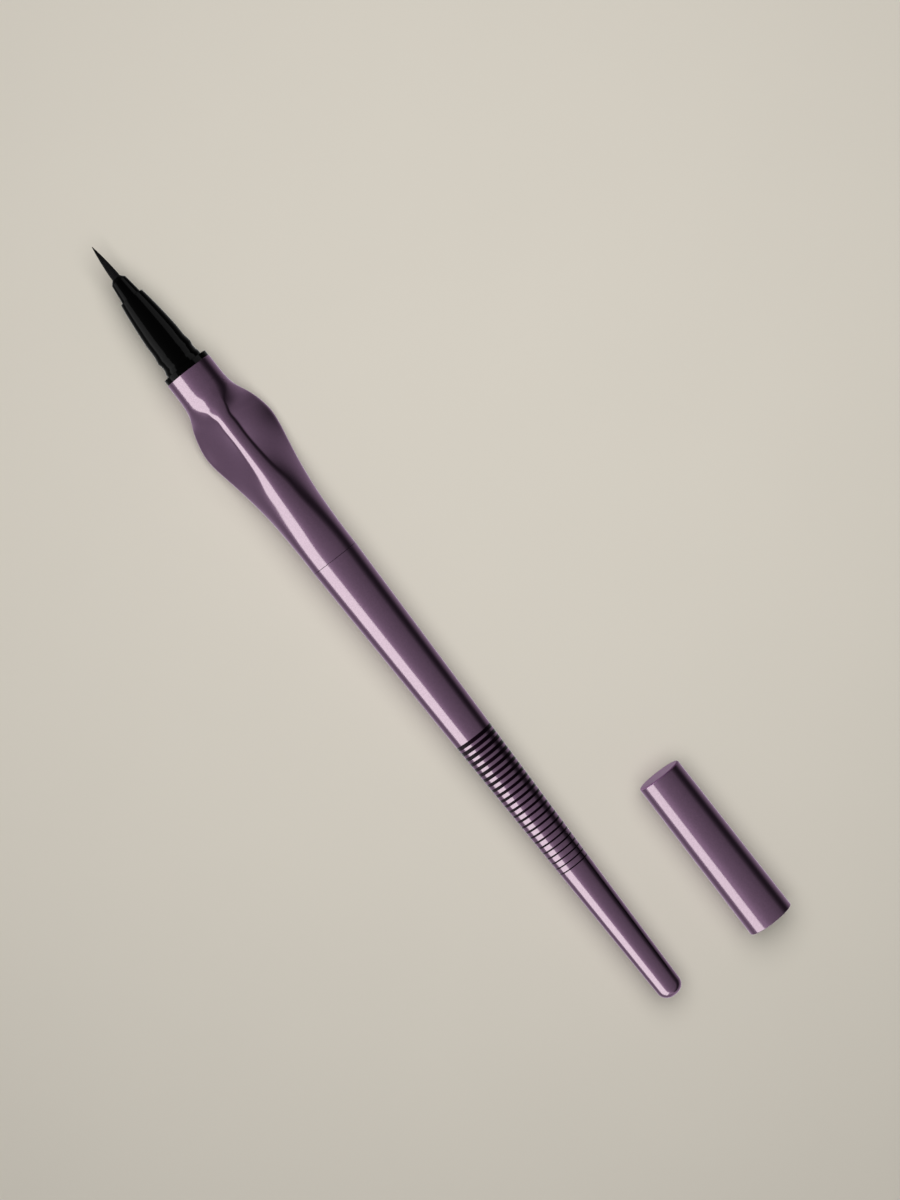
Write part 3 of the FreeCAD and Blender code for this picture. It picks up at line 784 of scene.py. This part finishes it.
def grip_section(crest_round, shoulder_round, centre, bend):
    """Points round the grip: three ridges, each a crest between shoulders, and bent sides."""
    sixth = math.radians(60)
    to_shoulder = Vector((math.cos(CREST_SPAN), math.sin(CREST_SPAN)))
    shoulder = Vector((centre, 0)) + (crest_round - shoulder_round) * to_shoulder
    out = Vector((math.cos(sixth), math.sin(sixth)))
    bend = min(bend, 1 / (shoulder_round + 1.04 * shoulder.length + 0.05))
    radius = 1 / bend if abs(bend) > 1e-4 else 1e4
    away = shoulder.dot(out)
    root = math.sqrt(away ** 2 - shoulder.length_squared + (radius - shoulder_round) ** 2)
    middle = away - math.copysign(root, radius)
    normal = (shoulder - out * middle) / (radius - shoulder_round)
    flank = math.atan2(normal.y, normal.x)
    sweep = sixth - flank
    points = []
    for angle in RIDGE_ANGLES:
        crest, side = (Matrix.Rotation(math.radians(angle) + more, 2) for more in (0, sixth))
        for step in range(RIDGE_STEPS):
            turn = flank * (2 * step / RIDGE_STEPS - 1)
            way = Vector((math.cos(turn), math.sin(turn)))
            if abs(turn) > CREST_SPAN:
                spot = Vector((shoulder.x, math.copysign(1, turn) * shoulder.y))
                spot += shoulder_round * way
            else:
                spot = Vector((centre, 0)) + crest_round * way
            points.append(crest @ spot)
        for step in range(SIDE_STEPS):
            turn = sweep * (2 * step / SIDE_STEPS - 1)
            spot = Vector((middle + radius * math.cos(turn), radius * math.sin(turn)))
            points.append(side @ spot)
    return points


def finish_piece(piece, body, slot, material, *nodes):
    """Gives a new piece its finish, its body and the nodes that it stands for."""
    piece.data.materials.clear()
    piece.data.materials.append(material)
    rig.ride(piece, body)
    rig.slot(piece, slot)
    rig.replaces(piece, *nodes)
    return piece


def facing(place, aim, up):
    """The matrix of a lamp or camera at a place that looks at a point with this way up."""
    back = (place - aim).normalized()
    right = up.cross(back).normalized()
    turn = Matrix((right, back.cross(right), back)).transposed()
    return Matrix.Translation(place) @ turn.to_4x4()


def finish_node(node, material):
    """Gives a node of the frame a better finish."""
    for slot in frame["nodes"][node].material_slots:
        slot.material = material


class EYELINER_OT_brush(bpy.types.Operator):
    """Lay fine fibres round a core that runs to a point"""

    bl_idname = "eyeliner.brush"
    bl_label = "Brush tip"

    def execute(self, context):
        sizes, looks = context.scene.eyeliner_sizes, context.scene.eyeliner_finishes
        core = turned("brush_core", BRUSH_CORE_OUTLINE, 40)
        fibre = self.fibre(sizes.fibre_radius)
        draw = random.Random(7)
        to_root = Matrix.Translation((BRUSH_ROOT * MM, 0, 0))
        strands = [core]
        for number in range(sizes.fibre_count):
            strand = fibre.copy()
            strand.data = fibre.data.copy()
            context.collection.objects.link(strand)
            turn = math.tau * (number + draw.uniform(-0.3, 0.3)) / sizes.fibre_count
            length = 1.0 if number % 9 == 0 else draw.uniform(0.93, 1.0)
            shorten = to_root @ Matrix.Diagonal((length, 1, 1, 1)) @ to_root.inverted()
            strand.data.transform(Matrix.Rotation(turn, 4, "X") @ shorten)
            strands.append(strand)
        bpy.data.objects.remove(fibre)
        start_mesh()
        for strand in strands:
            strand.select_set(True)
        context.view_layer.objects.active = core
        bpy.ops.object.join()
        core.name = core.data.name = "brush_bundle"
        material = fibre_finish("inked brush fibres", looks.fibre, 0.38, 0.04)
        finish_piece(core, "pen", "brush_fibre", material, "brush_tip")
        return {"FINISHED"}

    def fibre(self, radius):
        """One fibre, drawn out along the brush's outline as it narrows to the point."""
        run, steps, sides = BRUSH_POINT - BRUSH_ROOT, 14, 6
        rings = [(BRUSH_ROOT - 0.4, BRUSH_RADIUS, 1.0)]
        for step in range(steps + 1):
            share = step / steps
            outside = BRUSH_RADIUS + (BRUSH_POINT_RADIUS - BRUSH_RADIUS) * share
            outside += BRUSH_SWELL * 4 * share * (1 - share)
            rings.append((BRUSH_ROOT + run * share, outside, 1.0 - 0.8 * share))
        places = [(x * MM, outside * MM - radius * size, size) for x, outside, size in rings]
        x, lift, size = places[0]
        start_mesh()
        bpy.ops.mesh.primitive_circle_add(
            vertices=sides, radius=radius, location=(x, lift, 0),
            rotation=(0, math.pi / 2, 0), enter_editmode=True, fill_type="NGON")
        for (x, lift, size), (next_x, next_lift, next_size) in zip(places, places[1:]):
            bpy.ops.mesh.extrude_region_move(
                TRANSFORM_OT_translate={"value": (next_x - x, next_lift - lift, 0)})
            share = next_size / size
            bpy.ops.transform.resize(
                value=(1, share, share), center_override=(next_x, next_lift, 0))
        return close_mesh("fibre", math.radians(80))


class EYELINER_OT_nose(bpy.types.Operator):
    """Turn the black nose cone and the holder of the brush"""

    bl_idname = "eyeliner.nose"
    bl_label = "Nose"

    def execute(self, context):
        sizes, looks = context.scene.eyeliner_sizes, context.scene.eyeliner_finishes
        material = moulding_finish("black moulding", looks.black, 0.13, 0.016, 1.5 * UM)
        for name, outline, node in (("nose", NOSE_OUTLINE, "nose_cone"),
                                    ("brush_holder", HOLDER_OUTLINE, "tip_holder")):
            piece = turned(name, outline, sizes.round_steps)
            finish_piece(piece, "pen", "black_plastic", material, node)
        return {"FINISHED"}


class EYELINER_OT_grip(bpy.types.Operator):
    """Draw a ring out along the grip and shape each of its sections"""

    bl_idname = "eyeliner.grip"
    bl_label = "Grip"

    def execute(self, context):
        sizes, looks = context.scene.eyeliner_sizes, context.scene.eyeliner_finishes
        steps = len(RIDGE_ANGLES) * (RIDGE_STEPS + SIDE_STEPS)
        sections = self.sections(sizes.grip_rings)
        stride = 0.1 * MM
        ring_start(0, 5 * MM, (0, 0), steps)
        for _ in sections[1:]:
            draw_out(stride)
        bpy.ops.object.mode_set(mode="OBJECT")
        bpy.ops.object.transform_apply(location=True, rotation=True, scale=True)
        for vertex in context.object.data.vertices:
            x, y, z = vertex.co
            section = sections[round(x / stride)]
            vertex.co = section[round(math.atan2(z, y) / math.tau * steps) % steps]
        bpy.ops.object.mode_set(mode="EDIT")
        grip = close_mesh("grip", math.radians(30))
        lacquer = lacquer_finish("grip lacquer", looks)
        finish_piece(grip, "pen", "purple_lacquer", lacquer, "grip_sleeve")
        return {"FINISHED"}

    def sections(self, count):
        """Every ring of the sleeve, outside from front to rear and then back along its bore.

        The front edge is rounded. The rear edge is sharp, because the barrel meets it.
        """
        length = GRIP_FRONT - GRIP_REAR
        tables = (CREST_ROUNDS, SHOULDER_ROUNDS, CREST_CENTRES, SIDE_BENDS)
        curves = [natural_spline(GRIP_PLACES, table) for table in tables]
        front = [(0.0, 0.05), (0.01, 0.026), (0.028, 0.007), (0.05, 0.0), (0.15, 0.0)]
        run = [(0.3 + (length - 0.6) * step / count, 0.0) for step in range(count + 1)]
        rear = [(length - place, 0.0) for place, _ in reversed(front)]
        rings = []
        for place, inset in front + run + rear:
            points = grip_section(*(curve(place / length) for curve in curves))
            shrink = 1 - inset / points[0].length
            rings.append([(GRIP_FRONT - place, *(point * shrink)) for point in points])
        around = [point.normalized() for point in points]
        step_place = GRIP_REAR + SOCKET_DEPTH
        for x, radius in ((GRIP_REAR, SOCKET_RADIUS), (step_place, SOCKET_RADIUS),
                          (step_place, GRIP_BORE), (GRIP_FRONT, GRIP_BORE)):
            rings.append([(x, *(point * radius)) for point in around])
        rings.append(rings[0])
        return [[Vector(point) * MM for point in ring] for ring in rings]


class EYELINER_OT_barrel(bpy.types.Operator):
    """Turn the tapered barrel and print its rings"""

    bl_idname = "eyeliner.barrel"
    bl_label = "Barrel"

    def execute(self, context):
        sizes, looks = context.scene.eyeliner_sizes, context.scene.eyeliner_finishes
        barrel = turned("ringed_barrel", BARREL_OUTLINE, sizes.round_steps)
        lacquer = lacquer_finish("ringed lacquer", looks, rings=sizes)
        finish_piece(barrel, "pen", "purple_lacquer", lacquer, "barrel")
        return {"FINISHED"}


class EYELINER_OT_cap(bpy.types.Operator):
    """Turn the cap's shell and the mouldings inside it, and wind its spring"""

    bl_idname = "eyeliner.cap"
    bl_label = "Cap"

    def execute(self, context):
        sizes, looks = context.scene.eyeliner_sizes, context.scene.eyeliner_finishes
        lacquer = lacquer_finish("cap lacquer", looks, end=CAP_END)
        liner = moulding_finish("black liner moulding", looks.liner, 0.34, 0.2)
        cup = moulding_finish("soft seal moulding", looks.seal, 0.42, 0.4)
        for name, outline, start, body, slot, material, node in (
                ("cap", CAP_OUTLINE, CAP_RIM, "cap", "purple_lacquer", lacquer, "cap_shell"),
                ("cap_lining", LINER_OUTLINE, CAP_RIM, "cap", "black_plastic", liner, "cap_liner"),
                ("sealing_cup", CUP_OUTLINE, CUP_RIM, "seal", "seal_plastic", cup, "inner_cap")):
            piece = turned(name, outline, sizes.round_steps, start, CAP_AXIS)
            finish_piece(piece, body, slot, material, node)
        self.spring(sizes.wire_radius, steel_finish(looks))
        return {"FINISHED"}

    def spring(self, wire, material):
        """A ring of wire is screwed along the cap's axis, and it shortens as the cup is pressed."""
        low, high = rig.box("inner_cap_spring")
        axis = [part * MM for part in CAP_AXIS]
        start_mesh()
        bpy.ops.mesh.primitive_circle_add(
            vertices=10, radius=wire, location=(low.x + wire, *axis))
        coil = bpy.context.object
        coil.data.transform(Matrix.Translation((0, SPRING_RADIUS * MM, 0)))
        screw = coil.modifiers.new("coil", "SCREW")
        screw.axis, screw.iterations = "X", SPRING_TURNS
        screw.screw_offset = (high.x - low.x - 2 * wire) / SPRING_TURNS
        screw.steps = screw.render_steps = 40
        screw.use_merge_vertices = False
        bpy.ops.object.modifier_apply(modifier=screw.name)
        bpy.ops.object.mode_set(mode="EDIT")
        bpy.ops.mesh.select_all(action="SELECT")
        bpy.ops.mesh.fill_holes(sides=12)
        coil = close_mesh("cup_spring", math.radians(60))
        finish_piece(coil, "cap", "steel", material, "inner_cap_spring")
        travel = next(joint["range_m"][1] for joint in frame["joints"]
                      if joint["name"] == "seal_press")
        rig.squash(coil, "seal_press", axis=(1, 0, 0), anchor=(high.x, *axis),
                  keep=1 - travel / (high.x - low.x))


class EYELINER_OT_ink_feed(bpy.types.Operator):
    """Finish the wick, the collector, the tank, its plug and the ball inside the pen"""

    bl_idname = "eyeliner.ink_feed"
    bl_label = "Ink feed"

    def execute(self, context):
        looks = context.scene.eyeliner_finishes
        finish_node("feed_wick", fibre_finish("inked wick fibres", looks.wick, 0.7, 0.2))
        natural = moulding_finish("natural moulding", looks.natural, 0.38, 0.5)
        for node in ("ink_collector", "ink_tube", "tube_plug"):
            finish_node(node, natural)
        finish_node("mixing_ball", steel_finish(looks))
        return {"FINISHED"}


class EYELINER_OT_stage(bpy.types.Operator):
    """Lay the floor, hang the lights and set the camera"""

    bl_idname = "eyeliner.stage"
    bl_label = "Stage"

    def execute(self, context):
        stage = context.scene.eyeliner_stage
        floor = self.floor(stage)
        self.room(context, stage)
        self.lights(context, stage, floor)
        self.camera(context, stage)
        context.scene.view_settings.view_transform = "Standard"
        return {"FINISHED"}

    def floor(self, stage):
        start_mesh()
        bpy.ops.mesh.primitive_plane_add(size=stage.floor_size, location=(0, 0, cad_box[0][2]))
        floor = bpy.context.object
        bpy.ops.object.transform_apply(location=True, rotation=True, scale=True)
        floor.name = "floor"
        floor.data.materials.append(floor_finish(stage))
        floor.visible_glossy = False
        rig.stage(floor)
        return floor

    def room(self, context, stage):
        """A pale room; gloss mirrors it as lighter on one side and dark low on the other."""
        world = bpy.data.worlds.new("soft room")
        context.scene.world = world
        sketch = NodeSketch(world)
        _, y, z = sketch.xyz("Generated")
        lean = y.calc("ARCTAN2", y, z) / math.tau + 0.5
        stops = [((angle + 180) / 360, (level, level, level, 1)) for angle, level in ROOM_LEVELS]
        mirrored = sketch.node("ShaderNodeValToRGB", {"stops": stops}, {"Fac": lean})
        path = sketch.node("ShaderNodeLightPath", output="Is Camera Ray")
        fill = sketch.mix(path, (stage.room_fill,) * 3, stage.floor)
        colour = sketch.mix(path.out("Is Glossy Ray"), fill, mirrored)
        light = sketch.node("ShaderNodeBackground", sockets={"Color": colour, "Strength": 1.0})
        sketch.node_output("ShaderNodeOutputWorld", light)

    def lights(self, context, stage, floor):
        """Long soft boxes beside the pen, each for its own pieces, and one over the floor."""
        lacquered = [bpy.data.objects[name] for name in LACQUERED]
        black = [bpy.data.objects[name] for name in BLACK]
        barrel, cap = bpy.data.objects["ringed_barrel"], bpy.data.objects["cap"]
        near, far = (stage.key_low, stage.key_high), (stage.far_low, stage.far_high)
        by_cap, white = (stage.cap_low, stage.key_high), (1, 1, 1)
        for piece in (*lacquered, cap):
            piece.visible_glossy = False
        not_plain = [floor, *lacquered, cap]
        for name, edges, watts, tint, state, lit in (
                ("side soft box", near, stage.key_watts, stage.key_tint, "INCLUDE", lacquered),
                ("cap's side soft box", by_cap, stage.cap_watts, stage.key_tint, "INCLUDE", [cap]),
                ("plain side soft box", by_cap, stage.plain_watts, white, "EXCLUDE", not_plain),
                ("far side soft box", far, stage.far_watts, white, "INCLUDE", black)):
            box = self.side_box(context, name, edges, watts, tint)
            self.link(box, "receiver", lit, state)
            self.link(box, "blocker", [floor, barrel], "EXCLUDE")
        over = Vector((*stage.floor_spot, 0))
        place = over + Vector((0, 0, stage.floor_height))
        top = self.soft_box(context, "floor soft box", place, over, IMAGE_UP, stage.floor_box,
                            stage.floor_watts, stage.floor_tint)
        top.data.shape = "ELLIPSE"
        self.link(top, "receiver", [*lacquered, cap, *black], "EXCLUDE")

    def side_box(self, context, name, edges, watts, tint):
        """A long soft box along the pen between two angles from overhead."""
        middle, half = (edges[1] + edges[0]) / 2, (edges[1] - edges[0]) / 2
        way = Vector((0, math.sin(middle), math.cos(middle)))
        across = Vector((0, way.z, -way.y))
        place = LIGHT_AIM + way * LIGHT_DISTANCE
        size = (LIGHT_LENGTH, 2 * LIGHT_DISTANCE * math.tan(half))
        return self.soft_box(context, name, place, LIGHT_AIM, across, size, watts, tint)

    def link(self, lamp, side, pieces, state):
        """Lights, or is blocked by, these pieces alone, or all but these."""
        group = bpy.data.collections.new(f"{lamp.name} {side}")
        for piece in pieces:
            group.objects.link(piece)
        setattr(lamp.light_linking, f"{side}_collection", group)
        for entry in group.collection_objects:
            entry.light_linking.link_state = state

    def soft_box(self, context, name, place, aim, along, size, watts, tint):
        light = bpy.data.lights.new(name, "AREA")
        light.shape, light.energy, light.color = "RECTANGLE", watts, tint
        light.size, light.size_y = size
        lamp = bpy.data.objects.new(name, light)
        context.collection.objects.link(lamp)
        lamp.matrix_world = facing(place, aim, along)
        lamp.visible_camera = False
        return lamp

    def camera(self, context, stage):
        """The camera stands over the pen, a little towards its brush, and looks at the middle."""
        from_middle = Vector((CAMERA_LEAN, 0, stage.camera_height))
        place = VIEW_MIDDLE + from_middle
        lens = bpy.data.cameras.new("camera")
        lens.sensor_width = 36.0
        lens.lens = lens.sensor_width / 2 * from_middle.length / VIEW_HALF_HEIGHT
        lens.clip_start, lens.clip_end = 0.01, 100.0
        camera = bpy.data.objects.new("camera", lens)
        context.collection.objects.link(camera)
        camera.matrix_world = facing(place, VIEW_MIDDLE, IMAGE_UP)
        context.scene.camera = camera


class EYELINER_PT_panel(bpy.types.Panel):
    """The pen's sizes, finishes and steps"""

    bl_idname = "EYELINER_PT_panel"
    bl_label = "Eyeliner Pen"
    bl_space_type = "VIEW_3D"
    bl_region_type = "UI"
    bl_category = "Eyeliner Pen"

    def draw(self, context):
        column = self.layout.column()
        for group in (context.scene.eyeliner_sizes, context.scene.eyeliner_finishes,
                      context.scene.eyeliner_stage):
            for name in group.__annotations__:
                column.prop(group, name)
        for step in STEPS:
            column.operator(step.bl_idname)


STEPS = (EYELINER_OT_brush, EYELINER_OT_nose, EYELINER_OT_grip, EYELINER_OT_barrel,
         EYELINER_OT_cap, EYELINER_OT_ink_feed, EYELINER_OT_stage)
CLASSES = (EyelinerSizes, EyelinerFinishes, EyelinerStage, *STEPS, EYELINER_PT_panel)


def register():
    for made in CLASSES:
        bpy.utils.register_class(made)
    bpy.types.Scene.eyeliner_sizes = bpy.props.PointerProperty(type=EyelinerSizes)
    bpy.types.Scene.eyeliner_finishes = bpy.props.PointerProperty(type=EyelinerFinishes)
    bpy.types.Scene.eyeliner_stage = bpy.props.PointerProperty(type=EyelinerStage)


def unregister():
    del bpy.types.Scene.eyeliner_stage
    del bpy.types.Scene.eyeliner_finishes
    del bpy.types.Scene.eyeliner_sizes
    for made in reversed(CLASSES):
        bpy.utils.unregister_class(made)


def main():
    register()
    bpy.ops.eyeliner.brush()
    bpy.ops.eyeliner.nose()
    bpy.ops.eyeliner.grip()
    bpy.ops.eyeliner.barrel()
    bpy.ops.eyeliner.cap()
    bpy.ops.eyeliner.ink_feed()
    bpy.ops.eyeliner.stage()
    boxes = {"cad": cad_box, "visual": [list(corner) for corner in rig.bounds()]}
    with open("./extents.json", "w") as file:
        json.dump(boxes, file)


if __name__ == "__main__":
    main()
